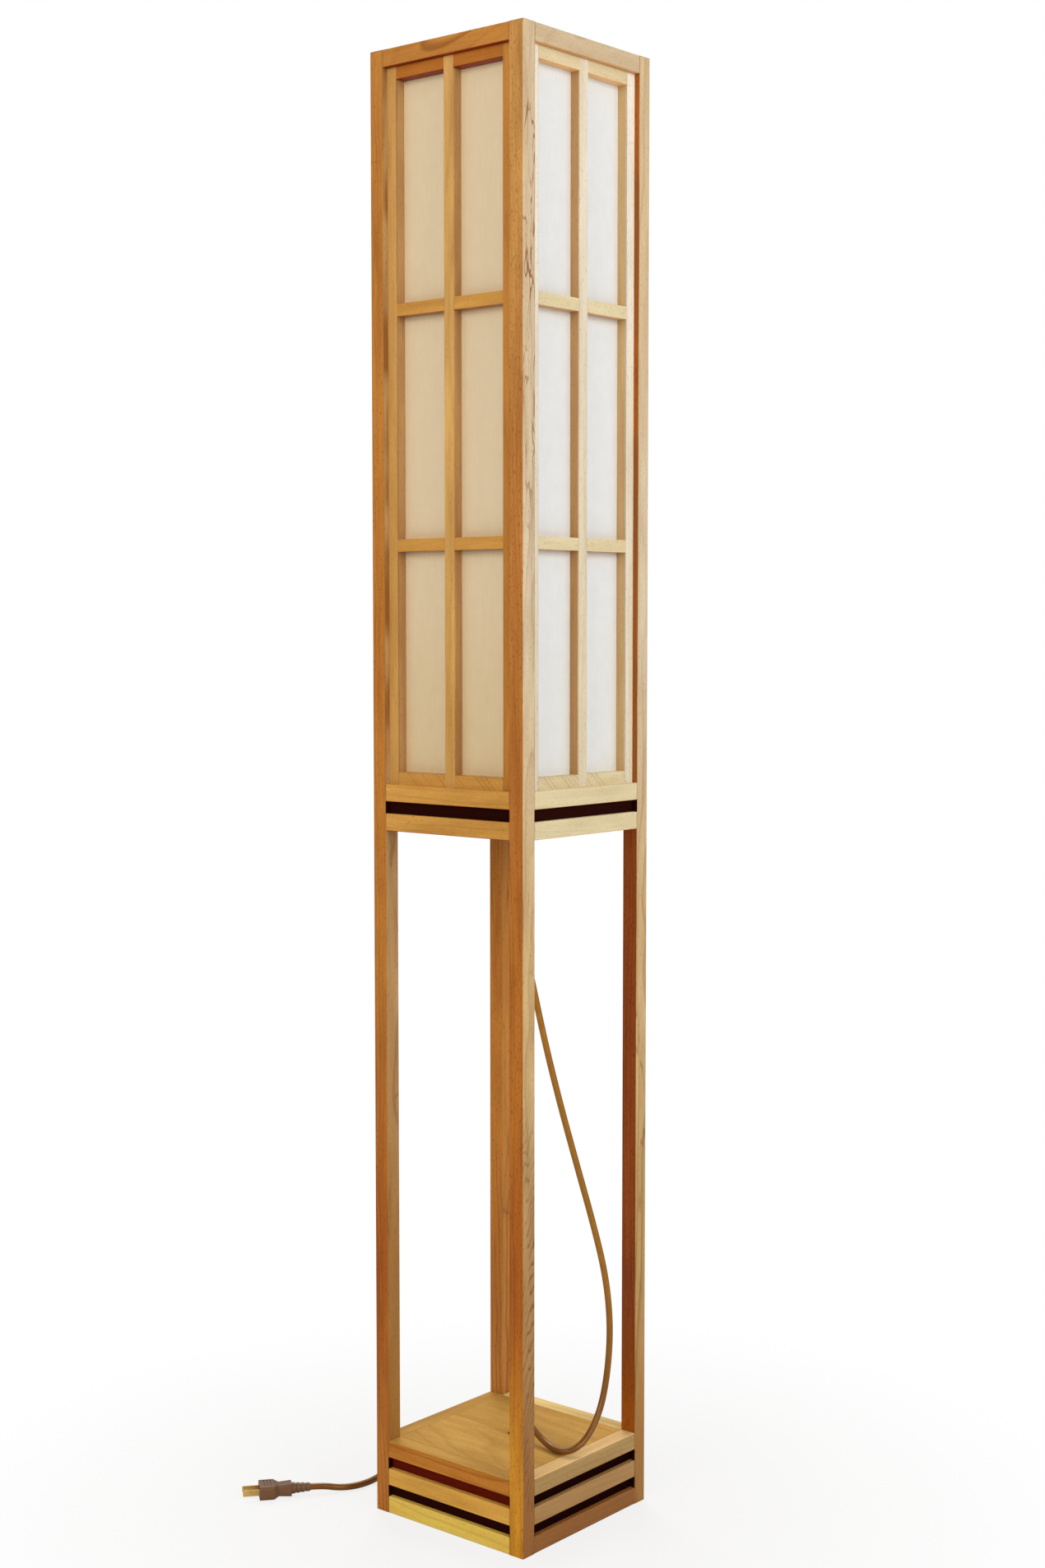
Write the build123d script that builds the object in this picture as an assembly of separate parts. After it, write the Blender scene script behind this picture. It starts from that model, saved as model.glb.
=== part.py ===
"""Andon floor lamp: a square post-and-rail tower with a papered lattice shade over an open bay.

Millimetres, +Z up, origin on the floor at the centre of the plan. The front is the -Y side.
Each side is drawn once, as the front, and turned by quarter turns about Z.
"""
import math
import os

from build123d import *

# ---------------------------------------------------------------- driving dimensions
width = 200.0            # outside width and depth over the posts
height = 1495.0          # floor to the top of the posts
post_size = 17.5         # square section of a post; the rails are as deep
rail_height = 17.5       # height of every frame rail
base_slot = 12.0         # gap between two rails of the base
waist_slot = 12.5        # gap between the two rails of the waist
waist_level = 714.5      # underside of the lower waist rail
corner_round = 1.2       # rounding of a post's outer arris
arris = 0.6              # chamfer along a rail's long edges
joint_fit = 0.1          # clearance round a tenon in its mortise

tenon_thickness = 6.0    # frame tenons
tenon_shoulder = 2.5     # rail height left above and below a frame tenon

recess = 6.0             # panels and reveal strips stand this far behind the frame's face
reveal_thickness = 6.0   # dark strips that close the slots
reveal_depth = 2.5       # how far a strip is let into each rail

member_width = 12.5      # face width of every panel member
panel_fit = 0.2          # clearance round a panel in its opening
upper_muntin_level = 1238.5   # centre height of the upper muntins
lower_muntin_level = 1003.7   # centre height of the lower muntins
panel_tenon_length = 6.0      # stub tenons of the panel rails and muntins
panel_tenon_thickness = 4.0
panel_tenon_shoulder = 2.0
paper_thickness = 0.4
paper_margin = 3.0       # frame left bare round the paper

board_thickness = 9.0    # shelf and lamp deck
bottom_thickness = 6.0   # board that closes the base
bottom_lift = 3.0        # the bottom board hangs this far above the floor
tongue_thickness = 4.0   # tongue round the shelf and the deck
tongue_length = 4.0
board_gap = 0.4          # open joint round a board
deck_drop = 6.0          # the deck's top lies this far below the waist rail's top
shelf_hole = 9.6         # cord hole in the shelf
shelf_hole_x = 1.0       # the hole was drilled this far off the shelf's centre
shelf_hole_y = 0.5
deck_hole = 10.4         # hole for the cord gland in the deck

cord_diameter = 6.8
coil_middle = 68.0       # coil diameter at the middle of its turns
coil_turns_across = 3    # turns side by side
coil_layers = 2          # turns on each other
coil_corner = 1.9        # bevel of the coil's section, where its outer turns round off
tie_thickness = 0.8
tie_width = 9.0
bushing_wall = 0.8       # bushing where the cord leaves the base
bushing_clearance = 0.5
bushing_flange = 1.0     # the flange stands this far beyond the bushing's wall
bushing_lip = 1.5        # thickness of the flange outside the strip

holder_foot = 60.0       # lampholder foot diameter
holder_foot_height = 5.0
holder_body = 41.0       # lampholder body diameter
holder_height = 44.0
socket_bore = 29.4       # bore that takes the screw shell
socket_depth = 29.0
shell_wall = 0.6         # brass screw shell in the lampholder
tip_diameter = 10.0      # contact tip of the bulb
tip_height = 3.0
cap_diameter = 26.0      # screw cap of the bulb
cap_height = 25.0
cap_wall = 0.8
globe_diameter = 60.0
globe_wall = 1.0
bulb_length = 110.0
screw_spacing = 50.0     # wood screws through the lampholder foot
screw_hole = 4.2
screw_diameter = 3.6
screw_length = 11.0
screw_head = 6.6

switch_length = 60.0     # foot switch on the cord
switch_width = 38.0
switch_height = 20.0
switch_axis = 8.0        # height of the cord's axis in the switch
button_diameter = 24.0
button_travel = 3.0
button_proud = 4.5
button_clearance = 0.3
relief_length = 20.0     # tapered strain reliefs of the switch and the plug
relief_radius = 6.0
relief_tip_wall = 0.9    # wall left at a relief's thin end
relief_grooves = 3       # flexing grooves round a relief
groove_depth = 0.8
groove_width = 1.4

plug_length = 34.0       # moulded grip, without the strain relief
plug_width = 26.0
plug_height = 15.0
grip_grooves = 3         # finger grooves across each flat of the plug
blade_length = 17.5
blade_width = 6.35
blade_thickness = 1.5
blade_spacing = 12.7

# ---------------------------------------------------------------- levels and lines
half = width / 2
inner = half - post_size                     # inside face of posts and rails
face = -half                                 # front face of the frame
panel_face = face + recess
panel_back = face + post_size
panel_middle = (panel_face + panel_back) / 2
base_pitch = rail_height + base_slot
base_levels = [level * base_pitch for level in range(3)]
shelf_level = base_levels[2] + rail_height
waist_levels = [waist_level, waist_level + rail_height + waist_slot]
shade_bottom = waist_levels[1] + rail_height
shade_top = height - rail_height
deck_level = shade_bottom - deck_drop
rail_levels = base_levels + waist_levels + [shade_top]
sides = ["front", "right", "back", "left"]
corners = ["front_left", "front_right", "back_right", "back_left"]

nodes = {}


def block(x0, x1, y0, y1, z0, z1):
    """A square-edged block between two opposite corners."""
    middle = Pos((x0 + x1) / 2, (y0 + y1) / 2, (z0 + z1) / 2)
    return middle * Box(x1 - x0, y1 - y0, z1 - z0)


def turned(points):
    """A solid of revolution about Z from (radius, height) corners."""
    outline = Polyline([(r, 0, z) for r, z in points], close=True)
    return revolve(make_face(outline), Axis.Z)


def on_side(quarter, shape):
    """The front's shape carried to another side by quarter turns."""
    return Rot(0, 0, 90 * quarter) * shape


# ---------------------------------------------------------------- frame
def mitred_tenon(level, grow=0.0):
    """The right-hand tenon of the front rail, its end mitred against its neighbour's."""
    near = post_size / 2 - tenon_thickness / 2 - grow
    far = post_size / 2 + tenon_thickness / 2 + grow
    plan = Polyline(
        (inner - 1.0, face + near),
        (half - near - joint_fit, face + near),
        (half - far - joint_fit, face + far),
        (inner - 1.0, face + far),
        close=True,
    )
    bottom = level + tenon_shoulder - grow
    return Pos(0, 0, bottom) * extrude(make_face(plan), rail_height - 2 * tenon_shoulder + 2 * grow)


def post():
    """The front left post with a pair of meeting mortises at every rail."""
    body = block(-half, -inner, -half, -inner, 0, height)
    outer = body.edges().filter_by(Axis.Z).sort_by(lambda e: e.center().X + e.center().Y)[0]
    body = fillet(outer, corner_round)
    near = post_size / 2 - tenon_thickness / 2 - joint_fit
    far = post_size / 2 + tenon_thickness / 2 + joint_fit
    for level in rail_levels:
        bottom = level + tenon_shoulder - joint_fit
        top = level + rail_height - tenon_shoulder + joint_fit
        body -= block(-half + near, -inner + 1, -half + near, -half + far, bottom, top)
        body -= block(-half + near, -half + far, -half + near, -inner + 1, bottom, top)
    return body


def rail(level):
    """A front rail between two posts, with chamfered arrises and a mitred tenon at each end."""
    bar = block(-inner, inner, face, panel_back, level, level + rail_height)
    bar = chamfer(bar.edges().filter_by(Axis.X), arris)
    tenon = mitred_tenon(level)
    return bar + tenon + mirror(tenon, Plane.YZ)


def reveal_groove(level):
    """The groove that takes a reveal strip's edge, centred on the given height."""
    near = face + recess - joint_fit
    far = face + recess + reveal_thickness + joint_fit
    depth = reveal_depth + joint_fit
    return block(-inner, inner, near, far, level - depth, level + depth)


def board_groove(bottom):
    """The groove inside a rail for a board's tongue, whose underside is given."""
    return block(-inner, inner, panel_back - tongue_length - joint_fit, panel_back + 1,
                 bottom - joint_fit, bottom + tongue_thickness + joint_fit)


def reveal_strip(bottom, slot):
    """A strip that closes a slot, let into the rails above and below."""
    return block(-inner + joint_fit, inner - joint_fit, face + recess, face + recess + reveal_thickness,
                 bottom - reveal_depth, bottom + slot + reveal_depth)


def frame_rails():
    """The front's rails by name, each grooved for the strips and boards it holds."""
    rails = {}
    rails["base_rail_bottom"] = rail(base_levels[0])
    rails["base_rail_bottom"] -= reveal_groove(base_levels[0] + rail_height)
    rails["base_rail_bottom"] -= board_groove(bottom_lift)
    rails["base_rail_middle"] = rail(base_levels[1])
    rails["base_rail_middle"] -= reveal_groove(base_levels[1])
    rails["base_rail_middle"] -= reveal_groove(base_levels[1] + rail_height)
    rails["base_rail_top"] = rail(base_levels[2])
    rails["base_rail_top"] -= reveal_groove(base_levels[2])
    rails["base_rail_top"] -= board_groove(shelf_level - board_thickness)
    rails["waist_rail_lower"] = rail(waist_levels[0])
    rails["waist_rail_lower"] -= reveal_groove(waist_levels[0] + rail_height)
    rails["waist_rail_upper"] = rail(waist_levels[1])
    rails["waist_rail_upper"] -= reveal_groove(waist_levels[1])
    rails["waist_rail_upper"] -= board_groove(deck_level - board_thickness)
    rails["top_rail"] = rail(shade_top)
    return rails


def tongued_board(top, thickness):
    """A square board with a tongue along each side at its underside."""
    edge = inner - board_gap
    reach = inner + tongue_length
    bottom = top - thickness
    board = block(-edge, edge, -edge, edge, bottom, top)
    board = chamfer(board.faces().sort_by(Axis.Z)[-1].edges(), board_gap)
    tongue_top = bottom + min(tongue_thickness, thickness)
    board += block(-reach, reach, -edge, edge, bottom, tongue_top)
    board += block(-edge, edge, -reach, reach, bottom, tongue_top)
    return board


# ---------------------------------------------------------------- shade panels
panel_edge = inner - panel_fit
panel_top = shade_top - panel_fit
opening_edge = panel_edge - member_width
cross_levels = [
    shade_bottom + member_width / 2,
    lower_muntin_level,
    upper_muntin_level,
    panel_top - member_width / 2,
]


def cross_tenon(level, grow=0.0):
    """Both stub tenons of a cross member, as one bar through it."""
    reach = opening_edge + panel_tenon_length + grow
    middle = panel_middle
    tall = member_width / 2 - panel_tenon_shoulder + grow
    thick = panel_tenon_thickness / 2 + grow
    return block(-reach, reach, middle - thick, middle + thick, level - tall, level + tall)


def cross_member(level):
    """A rail or muntin: stub tenons at its ends and its front halved for the mullion."""
    low = level - member_width / 2
    bar = block(-opening_edge, opening_edge, panel_face, panel_back, low, low + member_width)
    bar += cross_tenon(level)
    bar -= block(-member_width / 2, member_width / 2, panel_face - 1, panel_middle, low - 1, low + member_width + 1)
    return bar


def stile():
    """The right-hand stile, mortised for the four cross members."""
    bar = block(opening_edge, panel_edge, panel_face, panel_back, shade_bottom, panel_top)
    for level in cross_levels:
        bar -= cross_tenon(level, joint_fit)
    return bar


def mullion():
    """The upright between the stiles, its back halved over every cross member."""
    bar = block(-member_width / 2, member_width / 2, panel_face, panel_back, shade_bottom, panel_top)
    for level in cross_levels:
        low = level - member_width / 2
        bar -= block(-member_width, member_width, panel_middle, panel_back + 1, low, low + member_width)
    return bar


def paper():
    """The sheet glued across the back of a panel's frame and lattice."""
    edge = panel_edge - paper_margin
    return block(-edge, edge, panel_back, panel_back + paper_thickness,
                 shade_bottom + paper_margin, panel_top - paper_margin)


# ---------------------------------------------------------------- lampholder and bulb
contact_level = deck_level + holder_height - socket_depth + 2.0
cap_bottom = contact_level + tip_height
cap_top = cap_bottom + cap_height
globe_centre = contact_level + bulb_length - globe_diameter / 2


def lampholder():
    """A ceramic lampholder: foot, stepped body, screw bore and a raised centre contact."""
    foot = holder_foot / 2
    body = holder_body / 2
    base = deck_level
    top = base + holder_height
    floor = top - socket_depth
    solid = turned([
        (0, base), (foot, base), (foot, base + holder_foot_height - 1.5),
        (foot - 1.5, base + holder_foot_height), (body + 1, base + holder_foot_height),
        (body, base + holder_foot_height + 3), (body, top - 2), (body - 2, top),
        (socket_bore / 2, top), (socket_bore / 2, floor),
        (tip_diameter / 2, floor), (tip_diameter / 2, contact_level), (0, contact_level),
    ])
    for direction in (-1, 1):
        solid -= Pos(direction * screw_spacing / 2, 0, base) * Cylinder(screw_hole / 2, 4 * holder_foot_height)
    return solid


def screw_shell():
    """The rolled brass shell that lines the lampholder's bore."""
    outside = socket_bore / 2
    inside = outside - shell_wall
    top = deck_level + holder_height - 2.5
    bottom = top - socket_depth + 6.0
    return turned([(inside, bottom), (outside, bottom), (outside, top), (inside, top)])


def holder_screws():
    """The two wood screws through the lampholder's foot into the deck."""
    seat = deck_level + holder_foot_height
    tip = seat - screw_length
    shank = screw_diameter / 2
    head = screw_head / 2
    screw = turned([
        (0, tip), (shank, tip + 3), (shank, seat), (head, seat), (head, seat + 1.2),
        (head - 1, seat + 2.2), (0, seat + 2.2),
    ])
    return [Pos(direction * screw_spacing / 2, 0, 0) * screw for direction in (-1, 1)]


def bulb_contact():
    """The bulb's centre contact."""
    tip = tip_diameter / 2
    return turned([(0, contact_level), (tip - 2, contact_level), (tip, cap_bottom), (0, cap_bottom)])


def bulb_cap():
    """The bulb's screw cap, a brass cup round the insulated contact."""
    outside = cap_diameter / 2
    tip = tip_diameter / 2
    inside = outside - cap_wall
    return turned([
        (0, cap_bottom), (tip, cap_bottom), (outside, cap_bottom + 5), (outside, cap_top),
        (inside, cap_top), (inside, cap_bottom + 6), (0, cap_bottom + 6),
    ])


def globe_outline(offset):
    """Half the globe's outline, a given distance inside its outer face, open at the neck."""
    neck = cap_diameter / 2 - cap_wall - 0.05 - offset
    radius = globe_diameter / 2 - offset
    side = radius * math.sin(math.radians(55))
    join = Vector(side, 0, globe_centre - radius * math.cos(math.radians(55)))
    dome = ThreePointArc(join, (radius, 0, globe_centre), (0, 0, globe_centre + radius))
    neck_top = Vector(neck, 0, cap_top + 4)
    flank = TangentArc(join, neck_top, tangent=(-math.cos(math.radians(55)), 0, -math.sin(math.radians(55))))
    stem = Line((neck, 0, cap_top - 6), neck_top)
    floor = Line((0, 0, cap_top - 6), (neck, 0, cap_top - 6))
    axis = Line((0, 0, globe_centre + radius), (0, 0, cap_top - 6))
    return make_face([floor, stem, flank, dome, axis])


def bulb_globe():
    """The thin opal glass of the bulb, its neck let into the cap."""
    outer = revolve(globe_outline(0), Axis.Z)
    return outer - revolve(globe_outline(globe_wall), Axis.Z)


# ---------------------------------------------------------------- cord
cord_radius = cord_diameter / 2
floor_axis = cord_radius + 0.05
gland_bottom = deck_level - board_thickness - 18.0
exit_level = base_levels[0] + rail_height + base_slot / 2
exit_x = 36.0
exit_y = half - recess
switch_x = -60.0
switch_y = 140.0
switch_in = switch_x + switch_length / 2 + relief_length
switch_out = switch_x - switch_length / 2 - relief_length
coil_x = -172.0
coil_y = 95.0
coil_outer_turn = coil_middle / 2 + cord_diameter * (coil_turns_across - 1) / 2
coil_stub = 26.0
coil_axis = tie_thickness + cord_radius
coil_height = cord_diameter * coil_layers
plug_axis = plug_height / 2
bushing_radius = cord_radius + bushing_clearance + bushing_wall

# from the gland down through the bay, over the shelf, through its hole and out at the back
upper_route = [
    (0, 0, gland_bottom), (0, 0, 688), (3.4, 1.6, 634), (15.8, 9.6, 573), (29.6, 17.6, 497),
    (44.0, 26.0, 430), (60.0, 35.4, 363), (75.6, 43.8, 301), (87.6, 48.4, 250), (94.8, 47.0, 203),
    (97.8, 40.2, 161), (98.6, 29.6, 125), (98.2, 16.0, 103.2), (96.0, 3.2, 90.2), (92.8, -7.0, 84.4),
    (87.0, -14.4, 81.6), (78.4, -17.0, 80.8), (68.0, -14.8, 80.8), (56.4, -11.8, 82.8), (44.4, -9.2, 87.2),
    (31.6, -6.0, 93.4), (20.0, -3.4, 96.6), (10.0, -0.9, 94.2), (3.6, 0.7, 87.0), (1.7, 1.0, 77.0),
    (1.6, 1.0, 64.5), (2.8, 6.8, 49.5), (7.0, 20.0, 36.4), (15.0, 38.0, 28.0), (26.0, 58.0, 24.4),
    (exit_x, 80, exit_level), (exit_x, 105, exit_level), (32.2, 117.6, 20.8), (24.6, 128.2, 16.0),
    (14.2, 135.8, 10.8), (2.0, switch_y, switch_axis), (switch_in, switch_y, switch_axis),
]
# from the switch to the coil
lead_route = [
    (switch_out, switch_y, switch_axis), (-117.2, switch_y, switch_axis), (-124.4, 139.0, 7.1),
    (-131.6, 136.8, 5.1), (-138.8, coil_y + coil_outer_turn, coil_axis),
    (coil_x + coil_stub, coil_y + coil_outer_turn, coil_axis),
]
# from the coil round the base's corner to the plug
tail_route = [
    (coil_x - coil_outer_turn, coil_y - coil_stub, coil_axis), (coil_x - coil_outer_turn, 56, coil_axis),
    (-207.4, 39, floor_axis), (-196, 20, floor_axis), (-180, 1, floor_axis), (-163, -19, floor_axis),
    (-152.6, -40, floor_axis), (-150, -60, floor_axis), (-154, -79, floor_axis), (-163, -94, 4.4),
    (-173, -106, plug_axis), (-182, -117, plug_axis),
]


def corner_radii(route):
    """The bend at each inner point of a route: 0.45 of the shorter run over tan(half the turn)."""
    radii = []
    for before, here, after in zip(route, route[1:], route[2:]):
        arriving = Vector(*here) - Vector(*before)
        leaving = Vector(*after) - Vector(*here)
        turn = math.radians(arriving.get_angle(leaving))
        radii.append(0.45 * min(arriving.length, leaving.length) / math.tan(turn / 2))
    return radii


def cord_tube(route, name):
    """A round cord along straight runs joined by tangent arcs."""
    radii = corner_radii(route)
    path = FilletPolyline(*route, radius=radii)
    section = Plane(origin=path @ 0, z_dir=path % 0) * Circle(cord_radius)
    tube = sweep(section, path=path)
    print(f"{name}: length {path.length:.1f}, tightest {min(radii):.1f},"
          f" volume ratio {tube.volume / (path.length * math.pi * cord_radius ** 2):.4f}")
    return tube


def coil_section(grow=0.0):
    """The coil's bevelled section, or the strap's round it, about the middle of the turns."""
    across = cord_diameter * coil_turns_across + 2 * grow
    section = Rectangle(across, coil_height + 2 * grow)
    return chamfer(section.vertices(), coil_corner + grow * (2 - math.sqrt(2)))


def cord_coil():
    """The put-away turns as one ring with a straight stub for each end of the cord."""
    ring = revolve(Plane.XZ * Pos(coil_middle / 2, 0) * coil_section(), Axis.Z)
    ring = Pos(coil_x, coil_y, tie_thickness + coil_height / 2) * ring
    stub = Cylinder(cord_radius, coil_stub, align=(Align.CENTER, Align.CENTER, Align.MIN))
    ring += Pos(coil_x, coil_y + coil_outer_turn, coil_axis) * Rot(0, 90, 0) * stub
    ring += Pos(coil_x - coil_outer_turn, coil_y, coil_axis) * Rot(90, 0, 0) * stub
    return ring


def cord_tie():
    """The strap round the coil's section."""
    spread = math.degrees(tie_width / (coil_middle / 2))
    band = coil_section(tie_thickness) - coil_section()
    strap = revolve(Plane.XZ * Pos(coil_middle / 2, 0) * band, Axis.Z, spread)
    return Pos(coil_x, coil_y, tie_thickness + coil_height / 2) * Rot(0, 0, -spread / 2) * strap


def deck_gland():
    """The tapered gland under the deck, with its flange and its stem in the deck's hole."""
    bore = cord_radius
    deck_bottom = deck_level - board_thickness
    gland = turned([
        (0, gland_bottom), (bore + 1.2, gland_bottom), (bore + 3.2, deck_bottom - 3),
        (bore + 5.2, deck_bottom - 3), (bore + 5.2, deck_bottom), (deck_hole / 2 - joint_fit, deck_bottom),
        (deck_hole / 2 - joint_fit, deck_level - 1), (0, deck_level - 1),
    ])
    return gland


def exit_bushing():
    """The flanged bushing where the cord leaves through the back reveal strip."""
    flange = bushing_radius + bushing_flange
    inside = bushing_radius - bushing_wall
    bush = turned([
        (inside, -reveal_thickness), (bushing_radius, -reveal_thickness), (bushing_radius, 0), (flange, 0),
        (flange - 0.5, bushing_lip), (inside, bushing_lip),
    ])
    return Pos(exit_x, exit_y, exit_level) * Rot(-90, 0, 0) * bush


def strain_relief():
    """A tapered relief standing on its wide end, with flexing grooves round it."""
    slope = (relief_radius - cord_radius - relief_tip_wall) / relief_length
    pitch = relief_length / (relief_grooves + 1)
    outline = [(0, -2), (relief_radius, -2), (relief_radius, 0)]
    for groove in range(1, relief_grooves + 1):
        start = groove * pitch - groove_width / 2
        end = start + groove_width
        outline += [(relief_radius - slope * start, start), (relief_radius - slope * start - groove_depth, start)]
        outline += [(relief_radius - slope * end - groove_depth, end), (relief_radius - slope * end, end)]
    outline += [(cord_radius + relief_tip_wall, relief_length), (0, relief_length)]
    return turned(outline)


def switch_housing():
    """A foot switch's housing, its button well and a tapered strain relief at each end."""
    body = extrude(RectangleRounded(switch_length, switch_width, switch_width * 0.4), switch_height)
    body = fillet(body.faces().sort_by(Axis.Z)[-1].edges(), switch_height * 0.3)
    well = button_diameter / 2 + button_clearance
    body -= Pos(0, 0, switch_height - 6.0) * Cylinder(well, 20, align=(Align.CENTER, Align.CENTER, Align.MIN))
    for direction in (-1, 1):
        start = Pos(direction * switch_length / 2, 0, switch_axis)
        body += start * Rot(0, 90 * direction, 0) * strain_relief()
    return Pos(switch_x, switch_y, 0) * body


def switch_button():
    """The round push button, standing clear of its well's floor by more than its travel."""
    floor = switch_height - 6.0 + button_travel + 0.5
    top = switch_height + button_proud
    radius = button_diameter / 2
    button = turned([(0, floor), (radius, floor), (radius, top - 2.0), (radius - 2.0, top - 0.6), (0, top)])
    return Pos(switch_x, switch_y, 0) * button


def plug_frame():
    """The plane at the plug's cord face, its Z axis along the last run of the cord."""
    before = Vector(*tail_route[-2])
    end = Vector(*tail_route[-1])
    way = Vector(end.X - before.X, end.Y - before.Y, 0)
    return Plane(origin=end, x_dir=way.cross(Vector(0, 0, 1)), z_dir=way)


def plug_body():
    """The moulded plug: a strain relief and a waisted grip that widens towards the blades."""
    back = Plane.XY.offset(relief_length) * RectangleRounded(2.4 * relief_radius, 2.4 * relief_radius, 3.0)
    waist = Plane.XY.offset(relief_length + plug_length * 0.4)
    waist *= RectangleRounded(plug_width * 0.62, plug_height * 0.8, 3.5)
    shoulder = Plane.XY.offset(relief_length + plug_length * 0.55) * RectangleRounded(plug_width, plug_height, 4.0)
    front = Plane.XY.offset(relief_length + plug_length) * RectangleRounded(plug_width, plug_height, 4.0)
    grip = loft([back.face(), waist.face()], ruled=True) + loft([waist.face(), shoulder.face()], ruled=True)
    grip += loft([shoulder.face(), front.face()], ruled=True)
    for groove in range(grip_grooves):
        level = relief_length + plug_length * (0.65 + 0.1 * groove)
        for direction in (-1, 1):
            grip -= Pos(0, direction * plug_height / 2, level) * Box(0.7 * plug_width, 2 * groove_depth, groove_width)
    grip += Pos(0, 0, relief_length) * Rot(180, 0, 0) * strain_relief()
    return plug_frame() * grip


def plug_blades():
    """The two flat blades."""
    blade = Box(blade_thickness, blade_width, blade_length, align=(Align.CENTER, Align.CENTER, Align.MIN))
    blade = chamfer(blade.faces().sort_by(Axis.Z)[-1].edges(), blade_thickness * 0.3)
    places = [direction * blade_spacing / 2 for direction in (-1, 1)]
    return [plug_frame() * Pos(x, 0, relief_length + plug_length) * blade for x in places]


# ---------------------------------------------------------------- assembly
for quarter, corner in enumerate(corners):
    nodes[f"post_{corner}"] = on_side(quarter, post())

for name, shape in frame_rails().items():
    for quarter, side in enumerate(sides):
        nodes[f"{name}_{side}"] = on_side(quarter, shape)

exit_hole = Pos(exit_x, exit_y, exit_level) * Rot(90, 0, 0) * Cylinder(bushing_radius, 4 * reveal_thickness)
slots = [(base_levels[0] + rail_height, base_slot), (base_levels[1] + rail_height, base_slot),
         (waist_levels[0] + rail_height, waist_slot)]
strips = [on_side(quarter, reveal_strip(*slot)) for slot in slots for quarter in range(4)]
nodes["reveal_strips"] = [strip - exit_hole for strip in strips]

for quarter, side in enumerate(sides):
    frame = [stile(), mirror(stile(), Plane.YZ), cross_member(cross_levels[0]), cross_member(cross_levels[3])]
    lattice = [mullion(), cross_member(cross_levels[1]), cross_member(cross_levels[2])]
    nodes[f"panel_{side}_frame"] = [on_side(quarter, piece) for piece in frame]
    nodes[f"panel_{side}_lattice"] = [on_side(quarter, piece) for piece in lattice]
    nodes[f"panel_{side}_paper"] = on_side(quarter, paper())

nodes["shelf_board"] = tongued_board(shelf_level, board_thickness)
shelf_bore = Cylinder(shelf_hole / 2, 4 * board_thickness)
nodes["shelf_board"] -= Pos(shelf_hole_x, shelf_hole_y, shelf_level) * shelf_bore
nodes["deck_board"] = tongued_board(deck_level, board_thickness)
nodes["deck_board"] -= Pos(0, 0, deck_level) * Cylinder(deck_hole / 2, 4 * board_thickness)
nodes["bottom_board"] = tongued_board(bottom_lift + bottom_thickness, bottom_thickness)

nodes["lampholder"] = lampholder()
nodes["lampholder_shell"] = screw_shell()
screws = holder_screws()
nodes["lampholder_screws"] = screws
for screw in screws:
    nodes["deck_board"] -= screw

nodes["bulb_contact"] = bulb_contact()
nodes["bulb_cap"] = bulb_cap()
nodes["bulb_globe"] = bulb_globe()

nodes["cord_upper"] = cord_tube(upper_route, "cord_upper")
nodes["cord_lead"] = cord_tube(lead_route, "cord_lead")
nodes["cord_tail"] = cord_tube(tail_route, "cord_tail")
nodes["cord_coil"] = cord_coil()
nodes["cord_tie"] = cord_tie()
nodes["cord_bushings"] = [deck_gland(), exit_bushing()]
nodes["switch_housing"] = switch_housing()
nodes["switch_button"] = switch_button()
nodes["plug_body"] = plug_body()
nodes["plug_blades"] = plug_blades()

os.makedirs("parts", exist_ok=True)
for name, shape in nodes.items():
    solid = Compound(children=shape) if isinstance(shape, list) else shape
    export_step(solid, f"parts/{name}.step")
print(len(nodes), "nodes")
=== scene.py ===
"""Looks for the andon floor lamp: lacquered pale hardwood, shade paper, a brown mains cord and soft light.

Metres, in the part's own frame: +Z up, the front side towards -Y, the right side towards +X.
"""
import math

import bpy
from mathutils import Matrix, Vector


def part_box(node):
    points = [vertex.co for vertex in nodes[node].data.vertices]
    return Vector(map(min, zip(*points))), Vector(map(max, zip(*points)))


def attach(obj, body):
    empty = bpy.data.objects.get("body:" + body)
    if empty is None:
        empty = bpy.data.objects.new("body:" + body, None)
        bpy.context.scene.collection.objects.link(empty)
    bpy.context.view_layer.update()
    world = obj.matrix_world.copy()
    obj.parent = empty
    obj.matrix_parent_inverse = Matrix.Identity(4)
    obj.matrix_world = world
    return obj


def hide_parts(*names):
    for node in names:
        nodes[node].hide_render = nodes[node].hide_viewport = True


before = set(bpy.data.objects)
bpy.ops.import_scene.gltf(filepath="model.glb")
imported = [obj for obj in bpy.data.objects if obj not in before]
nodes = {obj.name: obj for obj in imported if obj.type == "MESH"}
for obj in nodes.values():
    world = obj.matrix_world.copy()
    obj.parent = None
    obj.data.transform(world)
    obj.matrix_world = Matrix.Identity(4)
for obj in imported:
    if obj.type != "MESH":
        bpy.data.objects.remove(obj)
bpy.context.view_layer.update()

# ---------------------------------------------------------------- sizes, most of them read from the frame
post_low, post_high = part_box("post_front_right")
POST = post_high.x - post_low.x                     # square section of a post
HALF = post_high.x                                  # half the lamp's width
INNER = HALF - POST                                 # inside face of posts and rails
HEIGHT = post_high.z
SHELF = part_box("base_rail_top_front")[1].z          # top of the shelf and of the rails round it
SHADE_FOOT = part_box("waist_rail_upper_front")[1].z  # where the shade panels stand
MEMBER = 0.0125                                     # face width of a panel member
PANEL_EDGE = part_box("panel_front_frame")[1].x - MEMBER  # inner edge of a stile
PANEL_FACE = abs(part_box("panel_front_lattice")[0].y)  # outer face of the lattice from the lamp's middle
MUNTINS = (1.0037, 1.2385)                          # centre heights of the muntins
CORD = 0.0068                                       # diameter of the mains cord

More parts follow.
